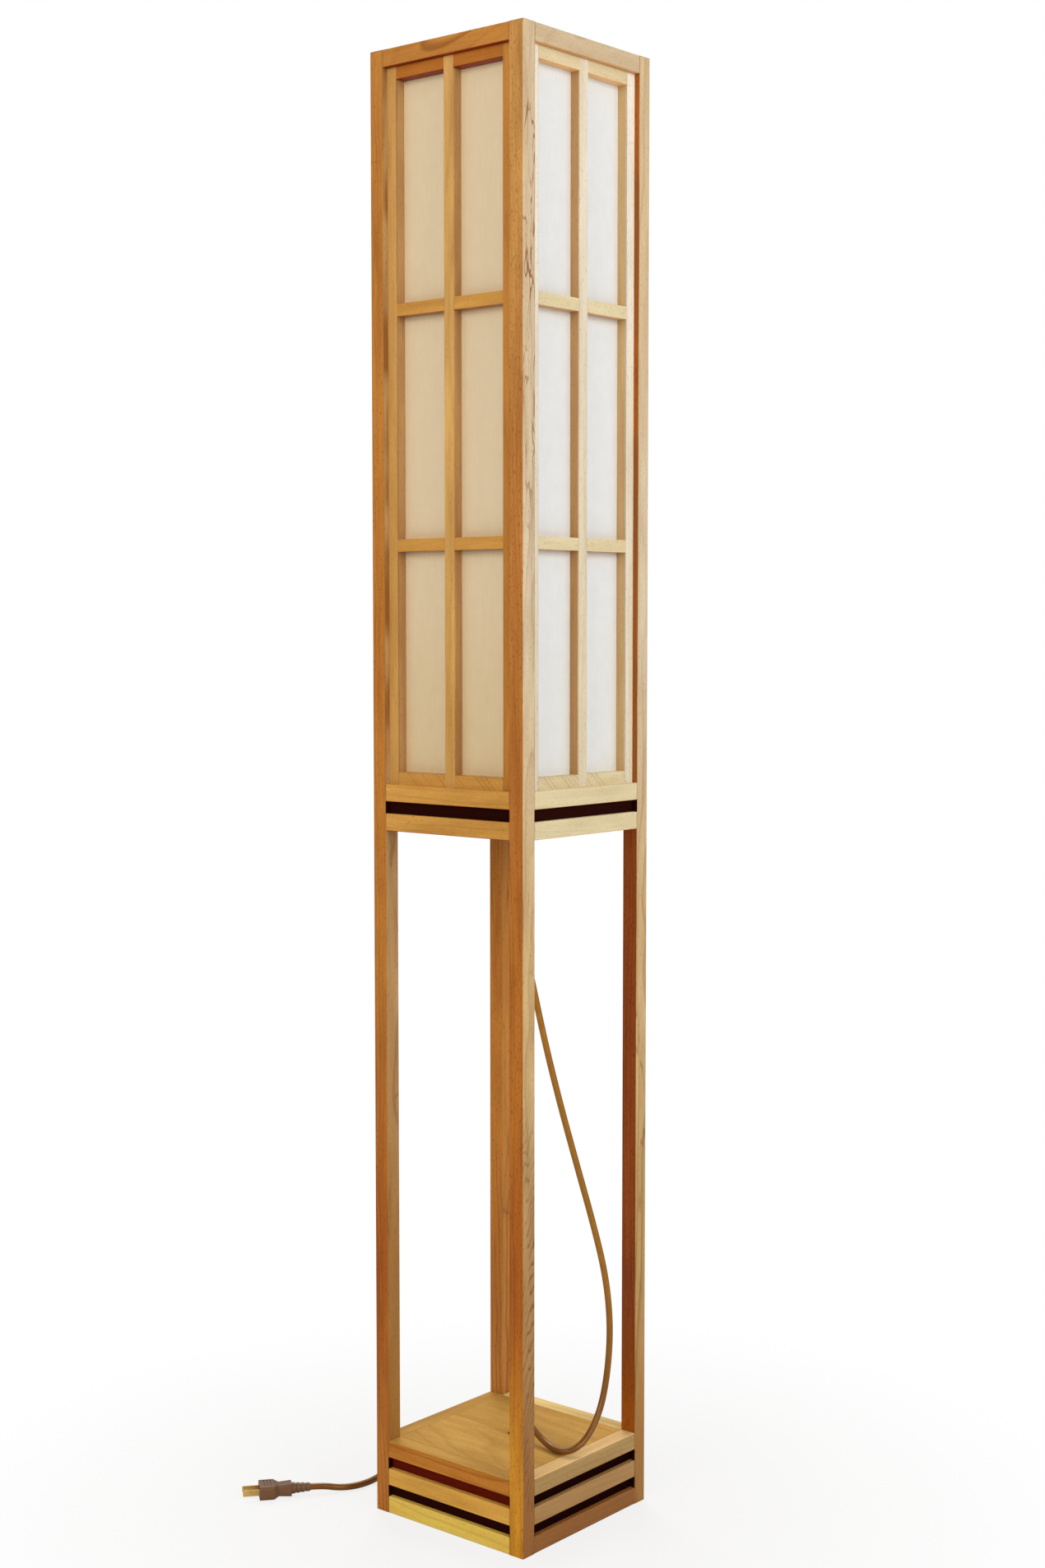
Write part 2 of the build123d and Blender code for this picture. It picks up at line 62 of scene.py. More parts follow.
# ---------------------------------------------------------------- camera
CAMERA_PLACE = Vector((1.47389, -1.73882, 0.92436))
CAMERA_AIM = Vector((-0.64099, 0.76420, -0.07168))
CAMERA_LENS = 50.958                                # mm, for the long side below
LONG_SIDE = 36.0                                    # mm, width of the sensor

camera_data = bpy.data.cameras.new("camera")
camera_data.lens = CAMERA_LENS
camera_data.sensor_width = LONG_SIDE
camera_data.clip_start = 0.05
camera = bpy.data.objects.new("camera", camera_data)
camera.location = CAMERA_PLACE
camera.rotation_euler = CAMERA_AIM.to_track_quat("-Z", "Y").to_euler()
bpy.context.scene.collection.objects.link(camera)
bpy.context.scene.camera = camera


# ---------------------------------------------------------------- cord
def point(x, y, z):
    """A point of the cord's route, given in millimetres."""
    return (x / 1000, y / 1000, z / 1000)


# from the gland down the bay, over the shelf, through its hole, out at the back and through the switch
DOWN_AND_OUT = [
    point(0, 0, 729), point(0, 0, 688), point(3.4, 1.6, 634), point(15.8, 9.6, 573), point(29.6, 17.6, 497),
    point(44.0, 26.0, 430), point(60.0, 35.4, 363), point(75.6, 43.8, 301), point(87.6, 48.4, 250),
    point(94.8, 47.0, 203), point(97.8, 40.2, 161), point(98.6, 29.6, 125), point(98.2, 16.0, 103.2),
    point(96.0, 3.2, 90.2), point(92.8, -7.0, 84.4), point(87.0, -14.4, 81.6), point(78.4, -17.0, 80.8),
    point(68.0, -14.8, 80.8), point(56.4, -11.8, 82.8), point(44.4, -9.2, 87.2), point(31.6, -6.0, 93.4),
    point(20.0, -3.4, 96.6), point(10.0, -0.9, 94.2), point(3.6, 0.7, 87.0), point(1.7, 1.0, 77.0),
    point(1.6, 1.0, 64.5), point(2.8, 6.8, 49.5), point(7.0, 20.0, 36.4), point(15.0, 38.0, 28.0),
    point(26.0, 58.0, 24.4), point(36, 80, 23.5), point(36, 105, 23.5), point(32.2, 117.6, 20.8),
    point(24.6, 128.2, 16.0), point(14.2, 135.8, 10.8), point(2.0, 140, 8), point(-14, 140, 8),
    point(-106, 140, 8), point(-117.2, 140, 8), point(-124.4, 139.0, 7.1), point(-131.6, 136.8, 5.1),
    point(-138.8, 135.8, 4.2), point(-148, 135.8, 4.2), point(-160, 135.9, 4.2), point(-172, 136.3, 4.2),
]
# off the top of the coil, down to the floor and round the base's corner to the plug
TO_PLUG = [
    point(-212.8, 85, 11.0), point(-213.0, 74, 10.2), point(-213.0, 62, 7.4), point(-211.6, 50, 4.6),
    point(-206.5, 37, 3.45), point(-196, 20, 3.45), point(-180, 1, 3.45), point(-163, -19, 3.45),
    point(-152.6, -40, 3.45), point(-150, -60, 3.45), point(-154, -79, 3.45), point(-163, -94, 4.4),
    point(-173, -106, 7.5), point(-182, -117, 7.5),
]
COIL_CENTRE = point(-172, 95, 4.2)
COIL_MIDDLE = 0.034                                 # radius of the middle turns
COIL_TURNS = 5.25
POINTS_A_TURN = 20
QUARTER = 0.25                                      # share of a turn that a move to the next place takes
# where each turn starts: steps out from the middle turns, and layer
PLACES = [(1, 0), (0, 0), (-1, 0), (-1, 1), (0, 1), (1, 1), (1, 1)]


def smooth(t):
    """The smooth step 3t^2 - 2t^3, held at 0 and 1 outside its span."""
    t = min(max(t, 0.0), 1.0)
    return t * t * (3 - 2 * t)


def coil_points():
    """The turns as control points: a circle whose radius and height move one cord across, a quarter turn
    at a time. A turn moves out in its second quarter, up in its third and in during its last, so that each
    place is left before the next turn comes into it."""
    # the spline cuts its control points' corners, and this is its radius as a share of theirs
    inside = 0.75 + 0.25 * math.cos(2 * math.pi / POINTS_A_TURN)
    points = []
    for step in range(1, int(COIL_TURNS * POINTS_A_TURN) + 1):
        turns = step / POINTS_A_TURN
        lap = min(int(turns), len(PLACES) - 2)
        (out, layer), (next_out, next_layer) = PLACES[lap], PLACES[lap + 1]
        share = turns - lap
        start = QUARTER if next_out > out else 2 * QUARTER if next_layer > layer else 3 * QUARTER
        moved = smooth((share - start) / QUARTER)
        radius = (COIL_MIDDLE + CORD * (out + (next_out - out) * moved)) / inside
        height = CORD * (layer + (next_layer - layer) * moved)
        angle = math.pi / 2 + 2 * math.pi * turns
        points.append((COIL_CENTRE[0] + radius * math.cos(angle), COIL_CENTRE[1] + radius * math.sin(angle),
                       COIL_CENTRE[2] + height))
    return points


def cord_curve(name, points, radius):
    """One open spline that the points steer, with a round section."""
    data = bpy.data.curves.new(name, "CURVE")
    data.dimensions = "3D"
    data.bevel_depth = 1.0
    data.bevel_resolution = 5
    data.resolution_u = 6
    data.use_fill_caps = True
    spline = data.splines.new("NURBS")
    spline.points.add(len(points) - 1)
    for control, place in zip(spline.points, points):
        control.co = (*place, 1.0)
        control.radius = radius
    spline.order_u = 3
    spline.use_endpoint_u = True
    curve = bpy.data.objects.new(name, data)
    bpy.context.scene.collection.objects.link(curve)
    return curve


cord = cord_curve("mains_cord", DOWN_AND_OUT + coil_points() + TO_PLUG, CORD / 2)
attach(cord, "root")
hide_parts("cord_upper", "cord_lead", "cord_coil", "cord_tail")


# ---------------------------------------------------------------- mixing finishes
class Value:
    """One output of a finish's node. Arithmetic on it adds Math nodes."""

    def __init__(self, finish, socket):
        self.finish = finish
        self.socket = socket

    def other(self, key):
        """Another output of the same node, by its number or name."""
        return Value(self.finish, self.socket.node.outputs[key])

    def __add__(self, other):
        return self.finish.math("ADD", self, other)

    def __sub__(self, other):
        return self.finish.math("SUBTRACT", self, other)

    def __rsub__(self, other):
        return self.finish.math("SUBTRACT", other, self)

    def __mul__(self, other):
        return self.finish.math("MULTIPLY", self, other)

    def __truediv__(self, other):
        return self.finish.math("DIVIDE", self, other)

    def __abs__(self):
        return self.finish.math("ABSOLUTE", self)

    __radd__ = __add__
    __rmul__ = __mul__


class Finish:
    """A material in the making: a node tree, one method that adds any node, and the steps built on it."""

    def __init__(self, name, world=None):
        self.data = world or bpy.data.materials.new(name)
        self.data.use_nodes = True
        self.tree = self.data.node_tree
        self.tree.nodes.clear()

    def node(self, kind, settings=None, inputs=None, output=0):
        """Adds a node, with its settings first and then the values or links of its sockets."""
        node = self.tree.nodes.new(kind)
        for key, value in (settings or {}).items():
            if key == "stops":
                for element, (place, level) in zip(self.stops(node, len(value)), value):
                    element.position = place
                    element.color = (level, level, level, 1)
            else:
                setattr(node, key, value)
        for key, value in (inputs or {}).items():
            if isinstance(value, Value):
                self.tree.links.new(value.socket, node.inputs[key])
            else:
                node.inputs[key].default_value = value
        return Value(self, node.outputs[output] if node.outputs else None)

    @staticmethod
    def stops(node, count):
        """A ramp's stops, as many as asked for."""
        elements = node.color_ramp.elements
        while len(elements) < count:
            elements.new(0.5)
        return elements

    def math(self, operation, *values):
        """A Math node on values or numbers."""
        return self.node("ShaderNodeMath", {"operation": operation}, dict(enumerate(values)))

    def place(self):
        """The row frame's coordinates x, y and z on the piece, in metres."""
        where = self.node("ShaderNodeTexCoord", output="Object")
        parts = self.node("ShaderNodeSeparateXYZ", inputs={0: where})
        return [parts.other(axis) for axis in range(3)]

    def noise(self, place, waves, shift=(0, 0, 0), detail=2.0, roughness=0.5, distortion=0.0):
        """Noise over a place, with so many waves a metre along each of its axes, and where it starts."""
        parts = [part * count for part, count in zip(place, waves)]
        parts = [part + start if start else part for part, start in zip(parts, shift)]
        vector = self.node("ShaderNodeCombineXYZ", inputs=dict(enumerate(parts)))
        inputs = {"Vector": vector, "Scale": 1.0, "Detail": detail, "Roughness": roughness}
        inputs["Distortion"] = distortion
        return self.node("ShaderNodeTexNoise", {"noise_dimensions": "3D"}, inputs)

    def rise(self, value, low, high, top=1.0):
        """0 below low, top above high, smooth between."""
        settings = {"interpolation_type": "SMOOTHSTEP"}
        return self.node("ShaderNodeMapRange", settings, {0: value, 1: low, 2: high, 3: 0.0, 4: top})

    def ramp(self, value, stops):
        """A grey level that runs straight from stop to stop, each a place and a level."""
        return self.node("ShaderNodeValToRGB", {"stops": stops}, {0: value})

    def blend(self, factor, first, second, mode="MIX"):
        """A colour from the first to the second as the factor goes from 0 to 1."""
        settings = {"data_type": "RGBA", "blend_type": mode, "clamp_factor": True}
        return self.node("ShaderNodeMix", settings, {0: factor, 6: first, 7: second}, output=2)

    def bump(self, height, distance, strength):
        inputs = {"Height": height, "Distance": distance, "Strength": strength}
        return self.node("ShaderNodeBump", None, inputs)

    def principled(self, **inputs):
        """The main shader, its inputs named with _ for each blank."""
        named = {key.replace("_", " "): value for key, value in inputs.items()}
        return self.node("ShaderNodeBsdfPrincipled", None, named)

    def mixed(self, share, first, second):
        """A shader from the first to the second as the share goes from 0 to 1."""
        return self.node("ShaderNodeMixShader", None, {0: share, 1: first, 2: second})

    def surface(self, shader):
        """Ends the finish with this shader and gives its material or world."""
        kind = "World" if isinstance(self.data, bpy.types.World) else "Material"
        self.node("ShaderNodeOutput" + kind, None, {"Surface": shader})
        return self.data


def tone(red, green, blue):
    """A screen colour, 0 to 255 each, as the linear colour that shaders use."""
    def linear(level):
        level = level / 255
        return level / 12.92 if level <= 0.04045 else ((level + 0.055) / 1.055) ** 2.4
    return (linear(red), linear(green), linear(blue), 1.0)


# ---------------------------------------------------------------- wood
MAIZE = tone(252, 198, 89)
OCHRE = tone(202, 138, 34)
GOLD = tone(220, 166, 72)
MAPLE = tone(211, 163, 93)
BUFF = tone(203, 154, 86)
HONEY = tone(203, 148, 69)
HAZEL = tone(197, 143, 76)
TOFFEE = tone(193, 129, 56)
TAWNY = tone(188, 120, 45)
COPPER = tone(181, 115, 49)
AMBER = tone(178, 108, 36)
RUSSET = tone(166, 90, 20)
CHESTNUT = tone(142, 68, 18)
PEARL = tone(234, 224, 204)
IVORY = tone(226, 213, 188)
CREAM = tone(221, 204, 162)
CHALK = tone(212, 191, 158)
SAND = tone(209, 185, 149)
OAT = tone(210, 182, 140)
STRAW = tone(205, 173, 121)
BUTTER = tone(228, 198, 128)
WHEAT = tone(200, 166, 110)
TAN = tone(192, 150, 98)
FAWN = tone(226, 187, 126)
CARAMEL = tone(194, 149, 71)
MALT = tone(184, 146, 88)
DRAB = tone(173, 141, 90)
BISCUIT = tone(172, 132, 80)
DUN = tone(166, 118, 58)
NUT = tone(150, 98, 48)
SEAM = tone(84, 38, 14)
# the strips' dark stain; on the posts' faces inside the slots it is painted shade
STAIN_AND_SHADE = tone(38, 9, 5)
# the strips' stain painted lighter and redder, as lit
STAIN_PAINTED_LIT = tone(92, 22, 8)


BRIGHTEST = 0.95                                    # most that a surface reflects of any colour


def scaled(colour, red, green, blue):
    """A colour with each of its parts multiplied. One that comes from nodes is multiplied there."""
    if isinstance(colour, Value):
        return colour.finish.blend(1.0, colour, (red, green, blue, 1.0), "MULTIPLY")
    return tuple(min(part * by, BRIGHTEST) for part, by in zip(colour, (red, green, blue))) + (1.0,)


def wood_figure(finish, place, seed, ring, tilt, pith, sway=0.012):
    """The wood's figure at each point of a board, from its place across, in depth and along, in metres.

    Growth lines are shells of even thickness round a pith line that runs beside the board, tilts along it
    and sways with slow noise. Each darkens slowly and ends sharply, and some are stronger than others.
    Fibre is noise drawn out along the board, flecks are short dashes and clouds are slow changes of tone."""
    across, depth, along = place
    sway_u = finish.noise(place, (14, 14, 5), (seed, 0, 0)) - 0.5
    sway_v = finish.noise(place, (9, 9, 2.4), (0, seed, -seed), detail=1.0) - 0.5
    u = across - pith[0] + along * tilt + sway_u * sway
    v = depth - pith[1] - along * tilt * 0.4 + sway_v * sway * 2
    shell = finish.math("SQRT", u * u + v * v) / ring
    line = finish.ramp(finish.math("FRACT", shell), [(0.0, 0.0), (0.62, 0.12), (0.9, 1.0), (1.0, 0.0)])
    strong = finish.noise((shell, 0, along), (0.37, 0, 1.7), (0, seed, 0), detail=1.0)
    lines = line * finish.rise(strong, 0.36, 0.62)
    fibre = finish.noise(place, (1100, 1100, 24), (seed, 0, 0))
    dashes = finish.noise(place, (700, 700, 260), (0, seed, 0), detail=1.0)
    flecks = finish.rise(dashes, 0.60, 0.70)
    clouds = finish.noise(place, (60, 60, 9), (seed, 0, 0), detail=4.0, roughness=0.6)
    return lines, fibre, flecks, clouds


# how a board's tone deepens and lightens, and what its growth lines and flecks make of it
DEEPEST = (0.74, 0.64, 0.54)
PALEST = (1.32, 1.42, 1.54)
IN_LINES = (0.42, 0.26, 0.14)
IN_FLECKS = (0.6, 0.45, 0.32)
# roughness and specular level of the lacquer: whole, and worn on and round the shelf
SATIN = (0.38, 0.16)
WORN = (0.5, 0.06)
RELIEF = 0.0001                                     # depth of the fibre's relief, and of the paper's


def wood_colour(finish, colour, figure, strokes, life, flecked=0.3):
    """A board's colour: clouds and fibre swing it round its tone, lines and flecks deepen it."""
    lines, fibre, flecks, clouds = figure
    swing = 0.5 + ((clouds - 0.5) + (fibre - 0.5) * 0.35) * life
    shade = finish.blend(swing, scaled(colour, *DEEPEST), scaled(colour, *PALEST))
    shade = finish.blend(lines * strokes, shade, scaled(colour, *IN_LINES))
    return finish.blend(flecks * flecked, shade, scaled(colour, *IN_FLECKS))


def lacquer(finish, colour, figure, sheen=SATIN):
    """Clear lacquer over wood: roughness and a faint relief follow the fibre and the lines."""
    lines, fibre, flecks = figure[:3]
    rough, shine = sheen
    rough = rough + (fibre - 0.5) * 0.18 + lines * 0.06 + flecks * 0.08
    relief = finish.bump(fibre * 0.5 + lines * 0.6 - flecks * 0.6, RELIEF, 0.5)
    return finish.surface(finish.principled(Base_Color=colour, Roughness=rough, Normal=relief,
                                            Specular_IOR_Level=shine))


def dress(name, material):
    """Gives a CAD node its finish."""
    mesh = nodes[name].data
    mesh.materials.clear()
    mesh.materials.append(material)


def middle(name):
    """The middle of a node's box."""
    low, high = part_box(name)
    return (low + high) / 2


def side_axes(finish, side):
    """Coordinates of a side: along it, outwards through it, and up."""
    x, y, z = finish.place()
    return (x, y, z) if side in ("front", "back") else (y, x, z)


SIDES = ("front", "right", "back", "left")
# soft borders between tones lie within a millimetre of the edges that they follow
SOFT = 0.0004                                       # half the width of most of them
# what painted shade on each side's undersides makes of the wood's red, green and blue
UNDERSIDE_SHADE = dict(zip(SIDES, ((0.5, 0.13, 0.01), (1.25, 0.9, 0.64), (0.6, 0.4, 0.3), (0.6, 0.4, 0.3))))


def rail_finish(name, colour, seed, strokes, life, ring, tilt):
    """A rail's wood, its length along its side, with a dark seam where each end meets a post.

    Its underside is painted darker as shade, and the top of a rail that the shelf lies against has a
    tone of its own."""
    finish = Finish(name)
    side = name.rsplit("_", 1)[1]
    along, depth, up = side_axes(finish, side)
    centre = middle(name)
    out = centre.y if side in ("front", "back") else centre.x
    figure = wood_figure(finish, (up - centre.z, depth - out, along), seed, ring, tilt, (0.02, 0.03))
    beside_shelf = name.startswith("base_rail_top")
    if beside_shelf:
        shelf_tone = {"back": BUTTER, "right": FAWN}.get(side, CARAMEL)
        colour = finish.blend(finish.rise(up, SHELF - 0.0008, SHELF - 0.0003), colour, shelf_tone)
    shade = wood_colour(finish, colour, figure, strokes, life)
    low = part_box(name)[0].z
    # painted shade on the rail's underside
    deeper = scaled(shade, *UNDERSIDE_SHADE[side])
    shade = finish.blend(1 - finish.rise(up, low + 0.0003, low + 0.0007), shade, deeper)
    seam = finish.rise(abs(along), INNER - 0.0007, INNER - 0.0001)
    return lacquer(finish, finish.blend(seam * 0.75, shade, SEAM), figure, WORN if beside_shelf else SATIN)


# heights of the dark slots between the rails, where the posts' faces are painted dark as shade
SLOTS = [(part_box(low)[1].z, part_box(high)[0].z) for low, high in (
    ("base_rail_bottom_front", "base_rail_middle_front"), ("base_rail_middle_front", "base_rail_top_front"),
    ("waist_rail_lower_front", "waist_rail_upper_front"))]


def window(finish, value, begin, full, fade, end):
    """0 up to where it begins, 1 from full to where it fades, and 0 from its end."""
    return finish.rise(value, begin, full) * (1 - finish.rise(value, fade, end))


def between(finish, value, low, high):
    """1 between two limits and 0 outside them, with soft edges."""
    return window(finish, value, low - SOFT, low + SOFT, high - SOFT, high + SOFT)


# heights at which a post's tones are given, from its head to its foot
TONE_LEVELS = (1.40, 0.95, 0.55, 0.25, 0.05)
LINES_GROW = (1.05, 0.10)                           # heights from and to which its growth lines grow stronger


def down_the_post(finish, z, tones):
    """A tone that changes slowly down a post, with one tone at each of the levels."""
    shade = tones[0]
    for high, low, below in zip(TONE_LEVELS, TONE_LEVELS[1:], tones[1:]):
        shade = finish.blend(finish.rise(z, high, low), shade, below)
    return shade


def post_finish(name, front_left_tones, right_back_tones, seed, near=False):
    """A post's wood: a deeper tone on its faces towards the front and left, a paler one on the other two,
    both deeper lower down. These tones are partly heartwood and sapwood, and partly painted light and
    shade: warm on the front faces, pale on the right ones, and deepening towards the floor.

    The border between them is a diagonal of the post's section. The paler faces have thin dark veins, and
    those of the near post also dark streaks at its head and bold growth lines at its foot. Where a face
    looks into a slot it is painted with the strips' dark stain as shade, and in the recess beside a panel
    it is painted patchily darker as shade. The top shows end grain."""
    finish = Finish(name)
    place = finish.place()
    x, y, z = place
    centre = middle(name)
    section = (x - centre.x, y - centre.y, z)
    figure = wood_figure(finish, section, seed, ring=0.0042, tilt=0.012, pith=(-0.03, 0.012), sway=0.016)
    drop = finish.rise(z, *LINES_GROW)
    # painted light and shade in part: faces towards the front and left take the deeper tones, the other two
    # the paler
    border = finish.rise(x - centre.x + y - centre.y, -0.0009, 0.0009)
    deep = down_the_post(finish, z, front_left_tones)
    deep = wood_colour(finish, deep, figure, strokes=0.3 + drop * 0.35, life=1.7, flecked=0.7)
    pale = down_the_post(finish, z, right_back_tones)
    pale = wood_colour(finish, pale, figure, strokes=0.3 + drop * 0.3, life=1.05, flecked=0.4)
    veins = curling_lines(finish, place, seed, (46, 46, 6.5), width=0.016, heights=(0.16, 0.3, 0.62, 0.85))
    pale = finish.blend(veins * 0.55, pale, scaled(NUT, 0.8, 0.75, 0.7))
    if near:
        streaks = curling_lines(finish, place, seed + 2, (105, 105, 13), width=0.026,
                                heights=(0.88, 1.18, 1.42, 1.45), patches=(0.36, 0.46))
        pale = finish.blend(streaks * 0.85, pale, scaled(CHESTNUT, 0.9, 1.1, 1.8))
        pale = finish.blend(flames(finish, y, z, seed) * 0.85, pale, scaled(NUT, 0.55, 0.5, 0.45))
    shade = finish.blend(border, deep, pale)
    inner = 1 - finish.rise(finish.math("MINIMUM", abs(x), abs(y)), INNER + 0.0002, INNER + 0.0006)
    # painted shade: the inner faces inside the slots take the strips' dark stain
    slots = [between(finish, z, low, high) for low, high in SLOTS]
    slot_shade = finish.math("MAXIMUM", finish.math("MAXIMUM", slots[0], slots[1]), slots[2])
    # painted shade: inner faces in the recess beside a panel are darkened in patches
    recess = finish.rise(z, SHADE_FOOT - SOFT, SHADE_FOOT + SOFT)
    patchy = finish.rise(finish.noise((0, y, z), (0, 20, 9), (seed, 0, 0)), 0.42, 0.6, top=0.75)
    shade = finish.blend(inner * recess * (patchy + 0.1), shade, scaled(CHESTNUT, 1.05, 1.6, 2.0))
    fibre = figure[1]
    end_grain = finish.blend(fibre, scaled(TAN, 0.7, 0.62, 0.55), TAN)
    shade = finish.blend(finish.rise(z, HEIGHT - 0.0006, HEIGHT - 0.0002), shade, end_grain)
    return lacquer(finish, finish.blend(inner * slot_shade, shade, STAIN_AND_SHADE), figure)


def curling_lines(finish, place, seed, waves, width, heights, patches=(0.42, 0.52)):
    """Narrow curling lines where a noise drawn out along a post passes its middle value.

    They show in patches, and between the heights of a window."""
    field = finish.noise(place, waves, (seed, 0, 0), distortion=0.6)
    line = 1 - finish.rise(abs(field - 0.5), width * 0.17, width)
    patch = finish.rise(finish.noise(place, (30, 30, 12), (0, seed, 0), detail=1.0), *patches)
    return line * patch * window(finish, place[2], *heights)


FLAME_SLOPE = 0.44                                  # how far a line moves across for each metre up
FLAME_SWAY = 0.026                                  # how far it strays to the sides, in all
FLAME_PITCH = 0.0072                                # from one line to the next, across
FLAME_HEIGHTS = (0.044, 0.046, 0.32, 0.52)


def flames(finish, y, z, seed):
    """Bold growth lines that cross the foot of a post's face steeply, each a little wavy."""
    sway = finish.noise((y, z, 0), (70, 18, 0), (0, 0, seed)) - 0.5
    phase = (y - z * FLAME_SLOPE + sway * FLAME_SWAY) / FLAME_PITCH
    line = finish.ramp(finish.math("FRACT", phase), [(0.0, 0.0), (0.6, 0.06), (0.84, 1.0), (0.98, 0.0)])
    strong = finish.rise(finish.noise((y, z, 0), (70, 14, 0), (0, 0, seed + 3), detail=1.0), 0.32, 0.54)
    return line * strong * window(finish, z, *FLAME_HEIGHTS)


def panel_finish(name, upright_tones, cross_tone, top_tone, edge_tone, seed):
    """Panel members: uprights and cross members each have their own grain, with a fine seam between.

    The uprights' inner edges have a tone of their own, painted light and shade, and all uprights are
    painted paler above and deeper below as light and shade. Cross members show slanting growth lines,
    faint but for the bottom rail's, undersides painted deeper as shade, and near the top a tone of
    their own, painted darker as the shade under the lamp's top rail."""
    finish = Finish(name)
    side = name.split("_")[1]
    along, depth, up = side_axes(finish, side)
    upright = wood_figure(finish, (along, depth, up), seed, ring=0.005, tilt=0.01, pith=(0.05, 0.06))
    crossing = wood_figure(finish, (up, depth, along), seed + 5, ring=0.0062, tilt=0.9, pith=(0.4, 0.1),
                           sway=0.02)
    on_face = finish.rise(abs(depth), PANEL_FACE - 0.0022, PANEL_FACE - SOFT)
    if name.endswith("lattice"):
        gap = finish.math("MINIMUM", *[abs(up - level) for level in MUNTINS]) - MEMBER / 2
        inside = abs(along) - MEMBER / 2
        has_seam = 1 - finish.rise(gap, -0.0001, 0.0001)
        is_cross = has_seam * finish.rise(inside, -0.0001, 0.0001)
        above_foot = finish.math("MINIMUM", *[abs(up - level + MEMBER / 2) for level in MUNTINS])
        under = 1 - finish.rise(above_foot, 0, SOFT)
    else:
        inside = abs(along) - PANEL_EDGE
        has_seam = on_face
        is_cross = 1 - finish.rise(inside, -0.0003, -0.0001)
        under = 1 - finish.rise(abs(up - HEIGHT + POST + MEMBER), SOFT, 2 * SOFT)
    seam = (1 - finish.rise(abs(inside), 0.0001, 0.0005)) * has_seam
    life = 0.7 if side == "right" else 1.3
    # painted light and shade: uprights paler towards the top and deeper towards the foot
    drop = finish.rise(up, HEIGHT - 0.1, SHADE_FOOT + 0.1)
    face_tone = finish.blend(finish.rise(along, -0.001, 0.001), *upright_tones)
    face_tone = finish.blend(drop, scaled(face_tone, 1.05, 1.06, 1.08), scaled(face_tone, 0.96, 0.94, 0.86))
    edge_tone = finish.blend(drop, edge_tone, scaled(edge_tone, 0.9, 0.85, 0.8))
    stood = finish.blend(1 - on_face, face_tone, edge_tone)
    stood = wood_colour(finish, stood, upright, strokes=0.16, life=life)
    low = 1 - finish.rise(up, SHADE_FOOT + MEMBER, SHADE_FOOT + 2 * MEMBER)
    # painted shade: the panel's top rail takes a darker tone under the lamp's top rail
    at_top = finish.rise(up, HEIGHT - 4 * MEMBER, HEIGHT - 2.5 * MEMBER)
    cross_tone = finish.blend(at_top, cross_tone, top_tone)
    laid = wood_colour(finish, cross_tone, crossing, strokes=0.08 + low * 0.4, life=life)
    # painted shade on the members' undersides
    laid = finish.blend(under, laid, scaled(laid, *UNDERSIDE_SHADE[side]))
    shade = finish.blend(seam * 0.4, finish.blend(is_cross, stood, laid), SEAM)
    return lacquer(finish, shade, upright)


# A seed sets where a piece's noise starts, so that no two pieces look alike.
# tones of each post's faces towards the front and left, and of its other two, at each of the levels:
# partly heartwood and sapwood, partly painted light and shade
POST_TONES = {
    "post_front_left": ((TOFFEE, TAWNY, TAWNY, RUSSET, AMBER), (WHEAT, WHEAT, TAN, DUN, DUN)),
    "post_front_right": ((HAZEL, COPPER, AMBER, RUSSET, OCHRE), (SAND, CHALK, STRAW, BISCUIT, NUT)),
    "post_back_right": ((RUSSET, RUSSET, CHESTNUT, CHESTNUT, RUSSET), (OAT, CHALK, STRAW, MALT, DUN)),
    "post_back_left": ((AMBER, AMBER, TAWNY, TAWNY, TOFFEE), (TOFFEE,) * 5),
}
for count, (name, tones) in enumerate(POST_TONES.items()):
    dress(name, post_finish(name, *tones, 3.1 + 5.3 * count, name == "post_front_right"))

# each rail's tone and how strongly its growth lines show, a pair for each of the sides;
# warm and deep on the front and pale on the right, partly the boards' own tones and partly painted light
RAIL_TONES = {
    "top_rail": ((TOFFEE, 0.6), (SAND, 0.2), (HONEY, 0.4), (WHEAT, 0.4)),
    "waist_rail_upper": ((HONEY, 0.4), (CREAM, 0.1), (GOLD, 0.3), (CREAM, 0.3)),
    "waist_rail_lower": ((HONEY, 0.2), (CREAM, 0.1), (HONEY, 0.3), (CREAM, 0.3)),
    "base_rail_top": ((TAWNY, 0.5), (DRAB, 0.3), (GOLD, 0.3), (CARAMEL, 0.3)),
    "base_rail_middle": ((GOLD, 0.2), (BISCUIT, 0.3), (HONEY, 0.3), (WHEAT, 0.3)),
    "base_rail_bottom": ((MAIZE, 0.3), (NUT, 0.3), (HONEY, 0.3), (WHEAT, 0.3)),
}
for row, (level, tones) in enumerate(RAIL_TONES.items()):
    for column, (side, (colour, strokes)) in enumerate(zip(SIDES, tones)):
        seed = 2.3 + 3.7 * row + 17.9 * column
        tilt = -0.55 if level == "top_rail" else 0.06 + 0.03 * (row % 3)
        ring = 0.0115 if level == "top_rail" else 0.0042
        name = f"{level}_{side}"
        life = 0.7 if side == "right" or level == "base_rail_bottom" else 1.4
        dress(name, rail_finish(name, colour, seed, strokes, life, ring, tilt))

